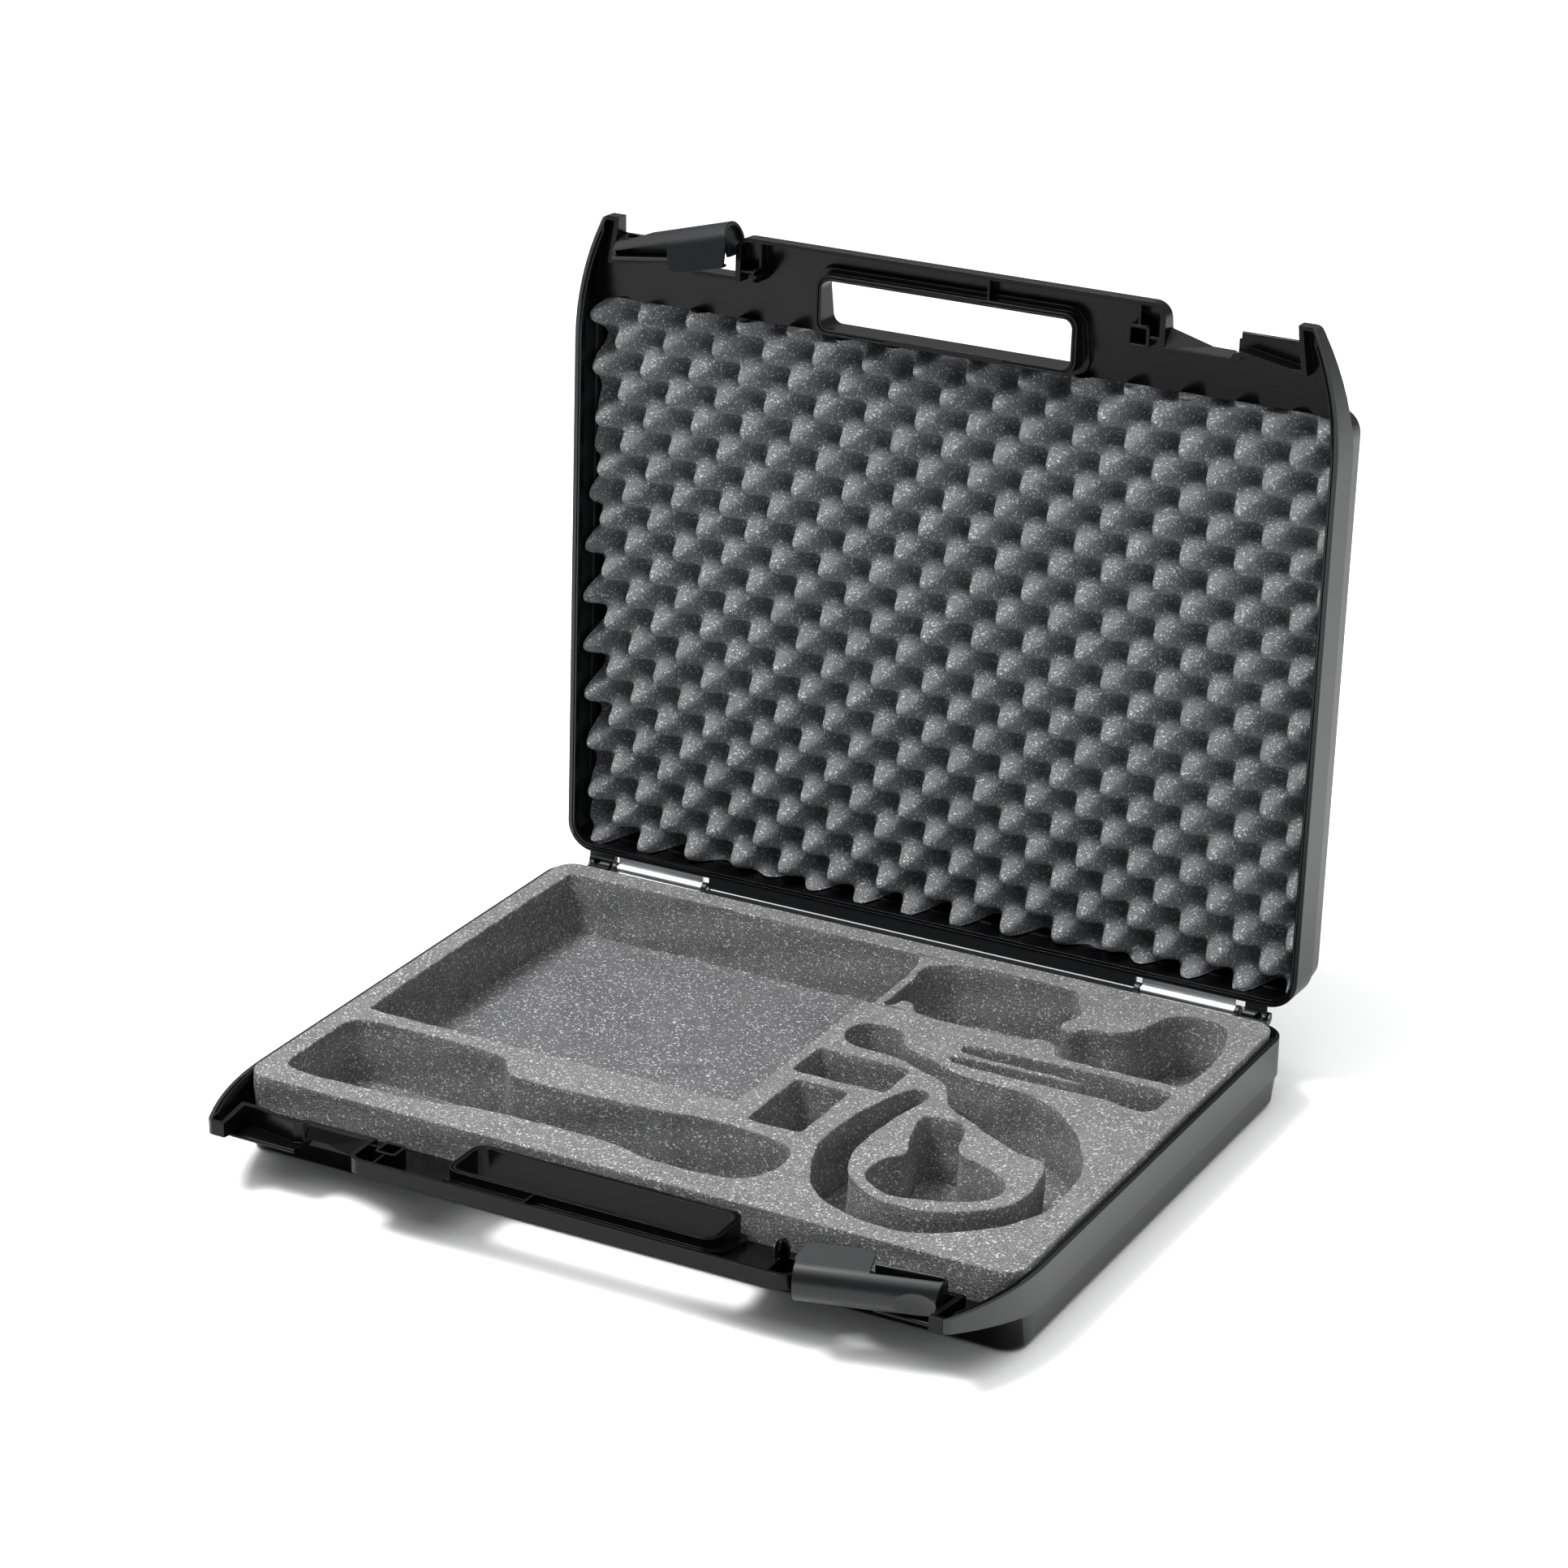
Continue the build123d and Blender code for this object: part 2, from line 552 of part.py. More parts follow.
def crate_foam():
    """Profile-cut sheet: a block under a waved face."""
    x = HX - 5.4
    v0, v1 = REAR_V + 4.4, F - 49.2
    step = 5.2
    nx = int((2 * x + 24) / step)
    nv = int((v1 - v0 + 24) / step)
    grid = []
    for i in range(nx + 1):
        px = -x - 12 + (2 * x + 24) * i / nx
        row = []
        for j in range(nv + 1):
            pv = v0 - 12 + (v1 - v0 + 24) * j / nv
            row.append(Vector(*vec(px, pv, crate_depth(px, pv))))
        grid.append(row)
    top = Face.make_surface_from_array_of_points(grid, tol=0.3)
    below = extrude(top, amount=60, dir=(0, 0, -1))
    split = PEAK_W + RELIEF + 2.0
    sheet = rounded(-x, x, v0, v1, 11, PEAK_W - 1, split) & below
    x -= 1.0
    sheet += rounded(-x, x, v0 + 1.0, v1 - 1.0, 11, split, DEEP - 3.0)
    x -= 2.5
    sheet += rounded(-x, x, v0 + 3.5, v1 - 3.5, 9, DEEP - 3.0, DEEP)
    return sheet


# ------------------------------------------------------------------ placing and export
def base_place(shape):
    return Pos(0, ORIGIN_V, SHELL_H) * shape


def lid_place(shape):
    """Turn the moulding over, open it about the hinge axis and lift it into place."""
    return Pos(0, ORIGIN_V, SHELL_H) * Rot(-LID_ANGLE, 0, 0) * Rot(0, 180, 0) * shape


def main():
    os.makedirs("parts", exist_ok=True)
    moulding = shell()
    catch = latch()
    nodes = {
        "base_shell": base_place(moulding + hinge_lugs()),
        "lid_shell": lid_place(moulding),
        "base_foam": base_place(die_cut_foam()),
        "base_foam_pad": base_place(rounded(9 - HX, HX - 9, REAR_V + 8.0, F - 53.0, 14, CUT_W, DEEP)),
        "lid_foam": lid_place(crate_foam()),
        "latch_base": base_place(catch),
        "latch_lid": lid_place(catch),
        "hinge_leaf_left": lid_place(hinge_leaf(1)),
        "hinge_leaf_right": lid_place(hinge_leaf(-1)),
        "hinge_pin_left": base_place(hinge_pin(-1)),
        "hinge_pin_right": base_place(hinge_pin(1)),
    }
    for name, shape in nodes.items():
        export_step(shape, "parts/" + name + ".step")
        print(name, round(shape.volume), len(shape.solids()), flush=True)


if __name__ == "__main__":
    main()
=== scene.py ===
"""Looks for the foam-lined carrying case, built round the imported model.

Sizes below are millimetres in the shell frame: x along the hinge, v from the
hinge axis to the lip, w down from the parting plane into the shell.
"""
import math

import bpy
import numpy as np
from mathutils import Matrix


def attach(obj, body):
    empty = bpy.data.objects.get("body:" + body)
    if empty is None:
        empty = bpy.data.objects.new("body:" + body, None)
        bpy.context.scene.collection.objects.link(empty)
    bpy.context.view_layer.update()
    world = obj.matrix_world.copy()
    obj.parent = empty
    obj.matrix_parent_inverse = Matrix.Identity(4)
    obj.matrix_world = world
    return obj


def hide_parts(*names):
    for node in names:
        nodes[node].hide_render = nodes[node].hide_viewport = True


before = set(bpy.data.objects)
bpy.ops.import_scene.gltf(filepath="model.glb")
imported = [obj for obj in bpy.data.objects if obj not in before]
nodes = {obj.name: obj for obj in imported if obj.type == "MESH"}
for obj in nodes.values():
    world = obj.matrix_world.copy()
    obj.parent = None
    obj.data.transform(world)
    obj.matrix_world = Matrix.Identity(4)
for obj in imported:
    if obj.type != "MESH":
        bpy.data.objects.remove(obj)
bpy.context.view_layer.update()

THETA = math.radians(92.24)     # opening of the lid from closed
COS, SIN = math.cos(THETA), math.sin(THETA)
AXIS_V, AXIS_W = 165.5, 39.5    # hinge axis above the frame origin


# ------------------------------------------------------------------ placing
def base_points(p):
    """Rows (x, v, w) of the base in the row frame, metres: (x, 165.5 - v, 39.5 - w)."""
    return np.stack([p[:, 0], AXIS_V - p[:, 1], AXIS_W - p[:, 2]], 1) / 1000


def lid_points(p):
    """Rows (x, v, w) of the open lid in the row frame, metres."""
    y = AXIS_V - p[:, 1] * COS + p[:, 2] * SIN
    z = AXIS_W + p[:, 1] * SIN + p[:, 2] * COS
    return np.stack([p[:, 0], y, z], 1) / 1000


def mesh_piece(name, points, faces, material, smooth=None):
    """Mesh object at the origin; only the first smooth faces are shaded smooth, or all."""
    smooth = len(faces) if smooth is None else smooth
    mesh = bpy.data.meshes.new(name)
    mesh.from_pydata(points.tolist(), [], faces)
    mesh.update()
    mesh.polygons.foreach_set("use_smooth", [k < smooth for k in range(len(faces))])
    mesh.materials.append(material)
    obj = bpy.data.objects.new(name, mesh)
    bpy.context.scene.collection.objects.link(obj)
    return obj


# ------------------------------------------------------------------ materials
def colour(text):
    """sRGB hex to linear RGBA."""
    c = [int(text[i:i + 2], 16) / 255 for i in (0, 2, 4)]
    return tuple(x / 12.92 if x <= 0.04045 else ((x + 0.055) / 1.055) ** 2.4 for x in c) + (1.0,)


def add(tree, kind, sockets=None, **settings):
    """One shader node: settings on the node, numbers or links on its sockets."""
    node = tree.nodes.new(kind)
    for key, value in settings.items():
        setattr(node, key, value)
    for key, value in (sockets or {}).items():
        if isinstance(value, bpy.types.NodeSocket):
            tree.links.new(value, node.inputs[key])
        else:
            node.inputs[key].default_value = value
    return node


def math_node(tree, operation, a, b=0.0, c=0.0):
    return add(tree, "ShaderNodeMath", {0: a, 1: b, 2: c}, operation=operation).outputs[0]


def ramp(tree, value, low, high, start=0.0, end=1.0):
    """value from low..high mapped to start..end, clamped."""
    node = add(tree, "ShaderNodeMapRange", {0: value, 1: low, 2: high, 3: start, 4: end})
    return node.outputs[0]


def mix(tree, factor, a, b):
    node = add(tree, "ShaderNodeMix", {0: factor, 6: a, 7: b}, data_type="RGBA")
    return node.outputs[2]


def start(name):
    """Empty material with its tree, Principled shader and object coordinates."""
    material = bpy.data.materials.new(name)
    material.use_nodes = True
    tree = material.node_tree
    tree.nodes.clear()
    shader = add(tree, "ShaderNodeBsdfPrincipled")
    out = add(tree, "ShaderNodeOutputMaterial")
    tree.links.new(shader.outputs[0], out.inputs[0])
    where = add(tree, "ShaderNodeTexCoord").outputs["Object"]
    return material, tree, shader, where


def foam_material(name, dark, light, painted_glint_colour, painted_glint_share):
    """Charcoal open-cell polyurethane foam: 1 mm cells, with painted glints: random cells tinted bright
    in the base colour where glossy cell skins would catch the light.
    """
    material, tree, shader, where = start(name)
    cells = add(tree, "ShaderNodeTexVoronoi", {"Vector": where, "Scale": 1150.0})
    fine = add(tree, "ShaderNodeTexNoise", {"Vector": where, "Scale": 1900.0, "Detail": 2.0})
    broad = add(tree, "ShaderNodeTexNoise", {"Vector": where, "Scale": 45.0, "Detail": 3.0})
    pick = add(tree, "ShaderNodeSeparateColor", {0: cells.outputs["Color"]})
    body = math_node(tree, "MULTIPLY_ADD", cells.outputs["Distance"], 0.45, -0.1)
    body = math_node(tree, "MULTIPLY_ADD", fine.outputs[0], 1.1, body)
    body = math_node(tree, "MULTIPLY_ADD", broad.outputs[0], 0.25, body)
    base = mix(tree, ramp(tree, body, 0.35, 1.05), colour(dark), colour(light))
    # Painted glints: a share of the cells gets the bright speck colour, standing in for light caught by
    # glossy cell skins.
    painted_glint_mask = ramp(tree, pick.outputs[0], 1.0 - painted_glint_share, 1.0)
    colour_with_painted_glints = mix(tree, painted_glint_mask, base, colour(painted_glint_colour))
    tree.links.new(colour_with_painted_glints, shader.inputs["Base Color"])
    height = math_node(tree, "MULTIPLY_ADD", cells.outputs["Distance"], 0.7, fine.outputs[0])
    bump = add(tree, "ShaderNodeBump", {"Strength": 0.55, "Distance": 0.0009, "Height": height})
    tree.links.new(bump.outputs[0], shader.inputs["Normal"])
    shader.inputs["Roughness"].default_value = 0.95
    shader.inputs["Specular IOR Level"].default_value = 0.12
    return material


def shell_coordinates(tree, where, lid):
    """|x|, v and w of a shell point, metres."""
    parts = add(tree, "ShaderNodeSeparateXYZ", {0: where})
    x, y, z = parts.outputs
    wide = math_node(tree, "ABSOLUTE", x)
    a, b = (-COS, SIN) if lid else (-1.0, 0.0)
    y = math_node(tree, "ADD", y, -AXIS_V / 1000)
    z = math_node(tree, "ADD", z, -AXIS_W / 1000)
    v = math_node(tree, "MULTIPLY_ADD", y, a, math_node(tree, "MULTIPLY", z, b))
    c, d = (SIN, COS) if lid else (0.0, -1.0)
    w = math_node(tree, "MULTIPLY_ADD", y, c, math_node(tree, "MULTIPLY", z, d))
    return wide, v, w


def shell_material(name, lid):
    """Black injection-moulded polypropylene: fine spark texture outside, smooth inside."""
    material, tree, shader, where = start(name)
    wide, v, w = shell_coordinates(tree, where, lid)
    side = math_node(tree, "GREATER_THAN", wide, 0.2165)
    rear = math_node(tree, "LESS_THAN", v, 0.0072)
    bottom = math_node(tree, "GREATER_THAN", w, 0.0386)
    dx = math_node(tree, "SUBTRACT", wide, 0.065)
    dv = math_node(tree, "SUBTRACT", v, 0.299)
    reach = math_node(tree, "POWER", dx, 2.0)
    reach = math_node(tree, "ADD", reach, math_node(tree, "POWER", dv, 2.0))
    horn = math_node(tree, "GREATER_THAN", reach, 0.1533 ** 2)
    horn = math_node(tree, "MULTIPLY", horn, math_node(tree, "GREATER_THAN", v, 0.299))
    horn = math_node(tree, "MULTIPLY", horn, math_node(tree, "GREATER_THAN", wide, 0.19))
    outside = math_node(tree, "MAXIMUM", math_node(tree, "MAXIMUM", side, rear),
                        math_node(tree, "MAXIMUM", bottom, horn))
    tree.links.new(mix(tree, outside, colour("050506"), colour("0f1112")), shader.inputs["Base Color"])
    tree.links.new(ramp(tree, outside, 0.0, 1.0, 0.24, 0.42), shader.inputs["Roughness"])
    tree.links.new(ramp(tree, outside, 0.0, 1.0, 0.14, 0.42), shader.inputs["Specular IOR Level"])
    grain = add(tree, "ShaderNodeTexNoise", {"Vector": where, "Scale": 1400.0, "Detail": 1.0})
    edge = add(tree, "ShaderNodeBevel", {"Radius": 0.0005}, samples=4)
    bump = add(tree, "ShaderNodeBump", {
        "Strength": ramp(tree, outside, 0.0, 1.0, 0.03, 0.16), "Distance": 0.0002,
        "Height": grain.outputs[0], "Normal": edge.outputs[0]})
    tree.links.new(bump.outputs[0], shader.inputs["Normal"])
    return material


def latch_material(name):
    """Black glass-filled nylon, satin mould finish."""
    material, tree, shader, where = start(name)
    edge = add(tree, "ShaderNodeBevel", {"Radius": 0.0006}, samples=4)
    tree.links.new(edge.outputs[0], shader.inputs["Normal"])
    shader.inputs["Base Color"].default_value = colour("0b0c0e")
    shader.inputs["Roughness"].default_value = 0.3
    shader.inputs["Specular IOR Level"].default_value = 0.32
    return material


def strip_material(name):
    """Mill-finish aluminium extrusion with faint die lines along its length."""
    material, tree, shader, where = start(name)
    lines = add(tree, "ShaderNodeMapping", {"Vector": where, "Scale": (20.0, 900.0, 900.0)})
    noise = add(tree, "ShaderNodeTexNoise", {"Vector": lines.outputs[0], "Scale": 1.0, "Detail": 2.0})
    tree.links.new(ramp(tree, noise.outputs[0], 0.3, 0.7, 0.34, 0.46), shader.inputs["Roughness"])
    shader.inputs["Base Color"].default_value = colour("e6e7e9")
    shader.inputs["Metallic"].default_value = 1.0
    return material


def pin_material(name):
    """Bright drawn steel wire."""
    material, tree, shader, where = start(name)
    shader.inputs["Base Color"].default_value = colour("b4b5b8")
    shader.inputs["Metallic"].default_value = 1.0
    shader.inputs["Roughness"].default_value = 0.3
    return material


# Third and fourth arguments: the painted glint colour and the share of cells that gets it.
foam_top = foam_material("die_cut_pu_foam", "121213", "7c7c7c", "b4b4b4", 0.14)
# Darker copy of the foam for the pad: painted shade on the pocket floors.
pad_foam_painted_shade = foam_material("pad_pu_foam_painted_shade", "0e0e0f", "6c6c6d", "b4b4b6", 0.14)
foam_crate = foam_material("egg_crate_pu_foam", "121314", "7a7b7d", "b4b4b8", 0.14)
coats = {
    "base_shell": shell_material("moulded_polypropylene_base", False),
    "lid_shell": shell_material("moulded_polypropylene_lid", True),
    "latch_base": latch_material("satin_nylon"),
    "hinge_leaf_left": strip_material("mill_aluminium"),
    "hinge_pin_left": pin_material("drawn_steel"),
}
coats["latch_lid"] = coats["latch_base"]
coats["hinge_leaf_right"] = coats["hinge_leaf_left"]
coats["hinge_pin_right"] = coats["hinge_pin_left"]
for name, material in coats.items():
    for slot in nodes[name].material_slots:
        slot.material = material


# ------------------------------------------------------------------ die-cut foam
FOAM_TOP = -3.0
CUT_W = 32.3
ROUND = 0.9             # softened edge of the cuts
RECEIVER = [(-203.5, 24), (15.5, 24), (15.5, 228), (-203.5, 228)]
DEVICES = [
    (21, 23), (104, 23), (109, 27), (112, 33), (114.5, 38.5), (119, 44), (121.5, 51.5), (119, 58),
    (116.5, 63), (117.5, 68), (120, 71), (125, 71.5), (128.5, 67.5), (132, 63.5), (140.5, 62),
    (149, 59), (154.5, 53), (157.5, 45.5), (159.5, 35.5), (163, 28.5), (169, 23.5), (177.5, 22),
    (187.5, 23), (193, 27), (197.5, 35.5), (202, 50), (204, 64), (204, 78.5), (203, 93), (200.5, 101.5),
    (197, 102.5), (135, 102.5), (130.5, 101), (129, 95.5), (124.5, 88.5), (119, 87), (112, 87.5),
    (110, 92.5), (49, 92.5), (42.5, 87), (39, 80), (32, 80), (30.5, 89), (26.5, 89.5), (25, 86),
    (21, 86),
]
SLOTS = [
    (84, 110), (196, 109), (200, 111), (200.5, 120), (200.5, 130), (198, 135), (194, 137), (183, 136.5),
    (178, 134), (171, 133), (158, 134.5), (89, 134.5), (85, 131), (85, 125.5), (157, 125), (157, 122),
    (89, 122), (85, 117),
]
LOOP = [
    (53, 141.5), (43, 142), (34.5, 140.5), (28, 136), (24.5, 129), (24, 122), (28, 114.5), (35, 111.5),
    (45, 112), (52, 116), (55, 123), (60.5, 130), (69, 133), (77.5, 135.5), (86, 139.5), (94.5, 143.5),
    (106, 145.5), (120.5, 146), (132, 146.5), (143, 148.5), (152, 153), (163, 160.5), (173, 170.5),
    (182, 182), (192, 199), (197, 212), (199, 223.5), (199.5, 240.5), (200.5, 249), (197.5, 260.5),
    (193, 270.5), (187.5, 280.5), (177.5, 290.5), (163, 301.5), (156, 305.5), (146, 308), (132, 308),
    (120.5, 305.5), (110.5, 302), (100.5, 297), (92, 290), (86, 282), (82, 273.5), (76, 260.5),
    (72.5, 249), (71, 236.5), (72, 218), (74.5, 200.5), (79, 185), (83, 173.5), (88, 169), (94, 170.5),
    (97, 179), (93, 193.5), (91.5, 203.5), (90, 218), (89.5, 232), (90, 243.5), (92.5, 255),
    (97.5, 265), (103, 272), (112, 279), (120.5, 283.5), (129, 285.5), (140.5, 285.5), (150.5, 283.5),
    (160.5, 279), (170.5, 272), (180.5, 260.5), (184, 252), (184.5, 240.5), (183, 230.5), (181, 220.5),
    (178, 212), (174.5, 209.5), (166, 209), (157.5, 206.5), (149, 202), (134.5, 194), (123, 187),
    (112, 181.5), (106, 175), (102.5, 168), (100, 161.5), (96, 157), (86, 153), (73, 147),
    (64.5, 143.5),
]
ISLAND = [
    (102.5, 195.5), (108.5, 192.5), (123, 193), (126.5, 195.5), (129, 202), (132, 213.5), (134.5, 219),
    (138, 224), (146, 226.5), (154.5, 229), (163, 233.5), (169, 238.5), (173, 245.5), (172.5, 255),
    (167.5, 262), (157.5, 268.5), (146, 273.5), (134.5, 277), (127.5, 278), (119, 275.5), (112, 271.5),
    (107, 265.5), (105.5, 258), (105.5, 250), (109, 241.5), (113.5, 238), (113.5, 233), (109, 221),
    (105, 210),
]
SMALL_A = [(21.5, 151.5), (74.5, 151.5), (74.5, 182), (21.5, 182)]
SMALL_B = [(28.5, 189.5), (59, 189.5), (59, 241.5), (28.5, 241.5)]
MIC = [
    (-202, 243), (-197, 239.5), (-187, 238.5), (-157, 238), (-121, 239.5), (-112, 242), (-107, 247),
    (-102, 253), (-98, 257), (-91, 258.5), (-65, 258.5), (-37, 256), (-7, 254), (1, 251.5), (23, 250.5),
    (47, 253), (59, 256), (65.5, 262), (67.5, 272), (66.5, 283), (62.5, 293), (55, 299.5), (41, 302.5),
    (19, 303), (5, 302), (-5, 299), (-15, 296.5), (-27, 295.5), (-57, 295.5), (-81, 296), (-97, 297.5),
    (-105, 299.5), (-117, 303), (-129, 304.5), (-157, 305.5), (-181, 306.5), (-195, 305.5), (-202, 302),
    (-204, 296), (-204, 257), (-204, 248),
]


def even(points, step):
    """Closed outline resampled at equal steps."""
    loop = np.vstack([points, points[:1]])
    run = np.r_[0, np.cumsum(np.hypot(*np.diff(loop, axis=0).T))]
    at = np.linspace(0, run[-1], max(8, int(run[-1] / step)), endpoint=False)
    return np.stack([np.interp(at, run, loop[:, k]) for k in (0, 1)], 1)


def rounded_outline(points, rounds, step=1.5, cut=0.25):
    """Outline with its corners cut off a few times, evenly spaced, wandering slightly."""
    p = np.array(points, float)
    for _ in range(rounds):
        q = np.roll(p, -1, 0)
        p = np.stack([p + (q - p) * cut, q - (q - p) * cut], 1).reshape(-1, 2)
    p = even(p, step)
    x, v = p.T
    p[:, 0] += 0.22 * np.sin(v * 0.31 + x * 0.05) + 0.12 * np.sin(v * 0.83)
    p[:, 1] += 0.22 * np.sin(x * 0.27 + v * 0.04) + 0.12 * np.sin(x * 0.71)
    return p


def chamfered(points, size):
    """Sharp corners replaced by short cuts of that size."""
    p = np.array(points, float)
    out = []
    for k in range(len(p)):
        for other in (p[k - 1], p[(k + 1) % len(p)]):
            d = other - p[k]
            out.append(p[k] + d / np.hypot(*d) * size)
    return np.array(out)


def outward(p):
    """Unit normals of a closed outline, pointing out of it."""
    d = np.roll(p, -1, 0) - np.roll(p, 1, 0)
    d /= np.hypot(*d.T)[:, None]
    x, v = p.T
    area = np.sum(x * np.roll(v, -1) - np.roll(x, -1) * v)
    return np.stack([d[:, 1], -d[:, 0]], 1) * np.sign(area)


def rectangle(x, v0, v1, radius, step=1.5):
    """Rounded rectangle -x..x, v0..v1."""
    corners = []
    for cx, cv, a0 in ((x - radius, v1 - radius, 0), (radius - x, v1 - radius, 90),
                       (radius - x, v0 + radius, 180), (x - radius, v0 + radius, 270)):
        a = np.radians(np.linspace(a0, a0 + 90, 9))
        corners.append(np.stack([cx + radius * np.cos(a), cv + radius * np.sin(a)], 1))
    return even(np.vstack(corners), step)


def top_height(p):
    """Depth of the foam's top face: flat, but sunk on the thin wall behind the big pocket."""
    x, v = p.T
    across = np.clip((x - 13.0) / 2.5, 0, 1) * np.clip((22.5 - x) / 2.5, 0, 1)
    along = np.clip((v - 22.0) / 6.0, 0, 1) * np.clip((92.0 - v) / 8.0, 0, 1)
    return FOAM_TOP + 5.5 * across * along


def foam_block():
    """Top face filled between the outlines, with each cut's wall swept down from it."""
    rim = rectangle(215.4, 10.9, 320.6, 12)
    outlines = [(rim, -outward(rim), 0.9)]
    for points, size in ((RECEIVER, 3.0), (SMALL_A, 2.0), (SMALL_B, 2.0)):
        p = rounded_outline(chamfered(points, size), 2)
        outlines.append((p, outward(p), ROUND))
    for points in (DEVICES, SLOTS, LOOP, ISLAND, MIC):
        p = rounded_outline(points, 2)
        outlines.append((p, outward(p), ROUND))

    curve = bpy.data.curves.new("foam_top_fill", "CURVE")
    curve.dimensions, curve.fill_mode = "2D", "BOTH"
    verts, quads, count = [], [], 0
    turn = np.linspace(0, math.pi / 2, 5)
    for p, normal, r in outlines:
        rings = []
        for t in turn:
            rings.append((r * (1 - math.sin(t)), r * (1 - math.cos(t))))
        for w in np.linspace(r + 2.5, CUT_W - FOAM_TOP + 0.5, 12):
            rings.append((0.0, w))
        n = len(p)
        flat = p + normal * r
        top = top_height(flat)
        spline = curve.splines.new("POLY")
        spline.points.add(n - 1)
        flat_points = np.c_[flat[:, 0], flat[:, 1], np.zeros(n), np.ones(n)]
        spline.points.foreach_set("co", flat_points.ravel())
        spline.use_cyclic_u = True
        for k, (out, w) in enumerate(rings):
            sway = 0.0 if k < len(turn) else 0.35
            q = p + normal * out
            x, v = q.T
            q = q + normal * (sway * np.sin(w * 0.22 + x * 0.06 + v * 0.05))[:, None]
            share = 1 - w / (CUT_W - FOAM_TOP)
            depth = FOAM_TOP + w + (top - FOAM_TOP) * max(0.0, share)
            verts.append(np.c_[q, depth])
            if k:
                a = count + (k - 1) * n + np.arange(n)
                b = count + (k - 1) * n + (np.arange(n) + 1) % n
                quads.append(np.stack([a, b, b + n, a + n], 1))
        count += n * len(rings)

    holder = bpy.data.objects.new("foam_top_fill", curve)
    bpy.context.scene.collection.objects.link(holder)
    bpy.context.view_layer.update()
    graph = bpy.context.evaluated_depsgraph_get()
    filled = bpy.data.meshes.new_from_object(holder.evaluated_get(graph))
    bpy.data.objects.remove(holder)
    cap = np.zeros(len(filled.vertices) * 3)
    filled.vertices.foreach_get("co", cap)
    cap = cap.reshape(-1, 3)
    cap[:, 2] = top_height(cap[:, :2])
    faces = [tuple(f) for f in np.vstack(quads)]
    walls = len(faces)
    faces += [tuple(count + i for i in f.vertices) for f in filled.polygons]
    points = base_points(np.vstack(verts + [cap]))
    return mesh_piece("die_cut_foam", points, faces, foam_top, smooth=walls)


def grid_quads(nx, ny):
    """Quads of an (nx, ny) grid of points."""
    i, j = np.meshgrid(np.arange(nx - 1), np.arange(ny - 1), indexing="ij")
    a = (i * ny + j).ravel()
    return np.stack([a, a + ny, a + ny + 1, a + 1], 1)


def slab(x, v, front, back):
    """Closed sheet: a grid of points with depth front, a skirt and a back at depth back."""
    nx, ny = x.shape
    p = np.stack([x, v, front], -1)
    edge = np.r_[np.arange(0, nx * ny, ny), (nx - 1) * ny + np.arange(1, ny),
                 (np.arange(nx - 2, -1, -1) * ny) + ny - 1, np.arange(ny - 2, 0, -1)]
    flat = p.reshape(-1, 3)
    hem = flat[edge].copy()
    hem[:, 2] = back
    n, m = len(flat), len(edge)
    k = np.arange(m)
    skirt = np.stack([edge, edge[(k + 1) % m], n + (k + 1) % m, n + k], 1)
    return np.vstack([flat, hem]), np.vstack([grid_quads(nx, ny), skirt])


def sheet_grid(x_half, v0, v1, radius, step):
    """Grid of points that fills a rounded rectangle, rows narrowed towards its corners."""
    ny = int((v1 - v0) / step)
    s = np.linspace(-1, 1, int(2 * x_half / step))[:, None]
    v = np.linspace(v0, v1, ny)[None, :]
    to_end = np.clip(np.minimum(v - v0, v1 - v), 0, radius)
    half = x_half - radius + np.sqrt(radius ** 2 - (radius - to_end) ** 2)
    return s * half, v + 0 * s


def pad():
    """Pad under the die-cut foam: a slab with a slightly uneven face, in a darker copy of the foam that
    paints the shade on the pocket floors.
    """
    x, v = sheet_grid(211.0, 14.5, 316.0, 14.0, 3.0)
    front = CUT_W + 0.25 * np.sin(x * 0.11 + 0.4) * np.sin(v * 0.09) + 0.15 * np.sin(x * 0.31 + v * 0.27)
    points, quads = slab(x, v, front, 37.2)
    return mesh_piece("foam_pad", base_points(points), quads.tolist(), pad_foam_painted_shade)


PEAK_W = 4.4            # depth of the egg-crate peaks
RELIEF = 27.0           # peak to valley
STEEP = 0.8             # how much the humps are squared off
PITCH_U, PITCH_T = 30.0, 28.7
VALLEY = (46.6, 272.1)  # one valley, about which the pattern is turned
TURN = math.radians(4.0)


def crate():
    """Egg-crate face: depth PEAK_W + RELIEF (1 - wave) / 2, wave = tanh(STEEP c) / tanh(STEEP),
    c = -cos(2 pi u / PITCH_U) cos(2 pi t / PITCH_T), with u and t turned by TURN about VALLEY."""
    x, v = sheet_grid(215.2, 9.4, 321.2, 11.0, 1.5)
    drift_x = 0.3 * np.sin(v * 0.021 + 0.6) + 0.3 * np.sin(x * 0.05 + v * 0.03)
    drift_v = 0.3 * np.sin(x * 0.019 + 1.1) + 0.3 * np.sin(v * 0.043 + x * 0.02)
    du, dv = x - VALLEY[0] + drift_x, v - VALLEY[1] + drift_v
    u = du * math.cos(TURN) + dv * math.sin(TURN)
    t = -du * math.sin(TURN) + dv * math.cos(TURN)
    wave = -np.cos(2 * math.pi * u / PITCH_U) * np.cos(2 * math.pi * t / PITCH_T)
    height = 1 + 0.05 * np.sin(x * 0.061 + v * 0.045) * np.sin(v * 0.052)
    wave = np.tanh(STEEP * wave) / math.tanh(STEEP)
    front = PEAK_W + RELIEF * (1 - wave * height) / 2
    points, quads = slab(x, v, np.maximum(front, 3.9), 36.0)
    return mesh_piece("egg_crate_foam", lid_points(points), quads.tolist(), foam_crate)


for obj, node, body in ((foam_block(), "base_foam", "base"),
                        (pad(), "base_foam_pad", "base"),
                        (crate(), "lid_foam", "lid")):
    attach(obj, body)
    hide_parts(node)


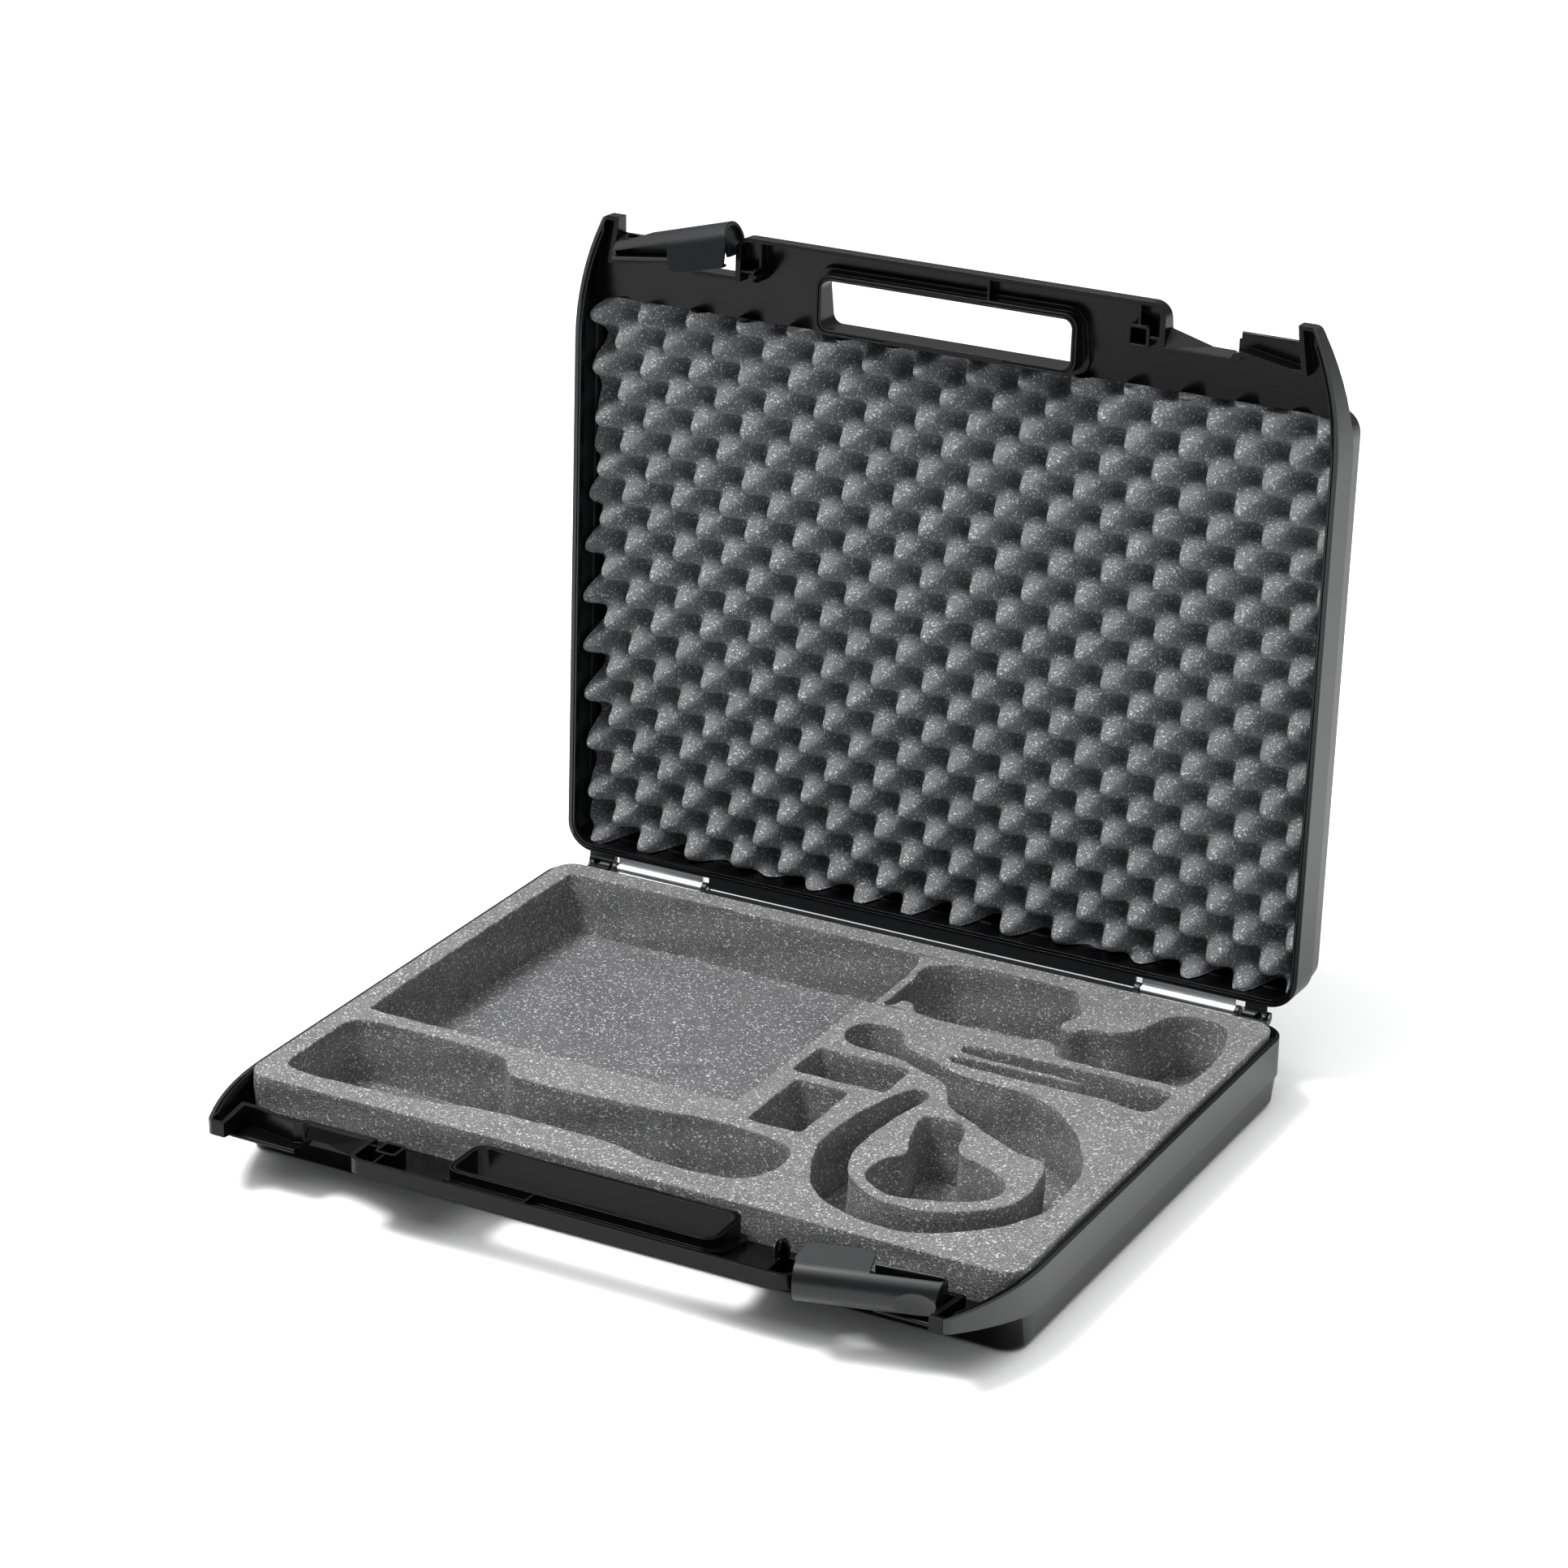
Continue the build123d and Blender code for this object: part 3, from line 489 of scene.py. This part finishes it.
# ------------------------------------------------------------------ floor, light and camera
floor_mesh = bpy.data.meshes.new("floor")
corners = [(-15, -15, 0), (15, -15, 0), (15, 15, 0), (-15, 15, 0)]
floor_mesh.from_pydata(corners, [], [(0, 1, 2, 3)])
floor = bpy.data.objects.new("floor", floor_mesh)
bpy.context.scene.collection.objects.link(floor)
plain, tree, shader, where = start("pale_floor")     # plain matt studio floor
shader.inputs["Base Color"].default_value = colour("f4f4f4")
shader.inputs["Roughness"].default_value = 0.9
shader.inputs["Specular IOR Level"].default_value = 0.0
floor_mesh.materials.append(plain)
floor.location.z = -0.0005

world = bpy.data.worlds.new("studio")
world.use_nodes = True
background = world.node_tree.nodes["Background"]
background.inputs["Color"].default_value = colour("f6f7f8")
background.inputs["Strength"].default_value = 0.35
bpy.context.scene.world = world
bpy.context.scene.view_settings.view_transform = "Standard"


def softbox(name, place, target, width, height, power):
    light = bpy.data.lights.new(name, "AREA")
    light.shape, light.size, light.size_y, light.energy = "RECTANGLE", width, height, power
    obj = bpy.data.objects.new(name, light)
    aim = np.array(target, float) - np.array(place, float)
    back = -aim / np.linalg.norm(aim)
    side = np.cross((0, 0, 1), back)
    side /= np.linalg.norm(side)
    up = np.cross(back, side)
    rotation = Matrix([[side[k], up[k], back[k]] for k in range(3)]).to_4x4()
    obj.matrix_world = Matrix.Translation(place) @ rotation
    bpy.context.scene.collection.objects.link(obj)
    return obj


softbox("key", (-0.9, -0.8, 2.4), (0.0, 0.05, 0.15), 0.8, 0.8, 85)
softbox("ceiling", (-0.3, 0.2, 3.2), (-0.3, 0.3, 0.0), 6.0, 6.0, 210)
softbox("fill", (2.2, -1.2, 1.3), (0.0, 0.0, 0.1), 1.2, 1.0, 7)

camera = bpy.data.cameras.new("camera")
camera.lens, camera.sensor_width = 101.19, 36.0
camera.shift_x, camera.shift_y = -0.0467, 0.0289
camera_object = bpy.data.objects.new("camera", camera)
right, up = (0.885255, 0.464747, 0.018277), (-0.195831, 0.336801, 0.920986)
back, place = (0.421870, -0.818887, 0.389167), (0.96543, -1.78130, 1.02011)
camera_object.matrix_world = Matrix(
    [[right[k], up[k], back[k], place[k]] for k in range(3)] + [[0, 0, 0, 1]])
bpy.context.scene.collection.objects.link(camera_object)
bpy.context.scene.camera = camera_object

bpy.context.view_layer.update()
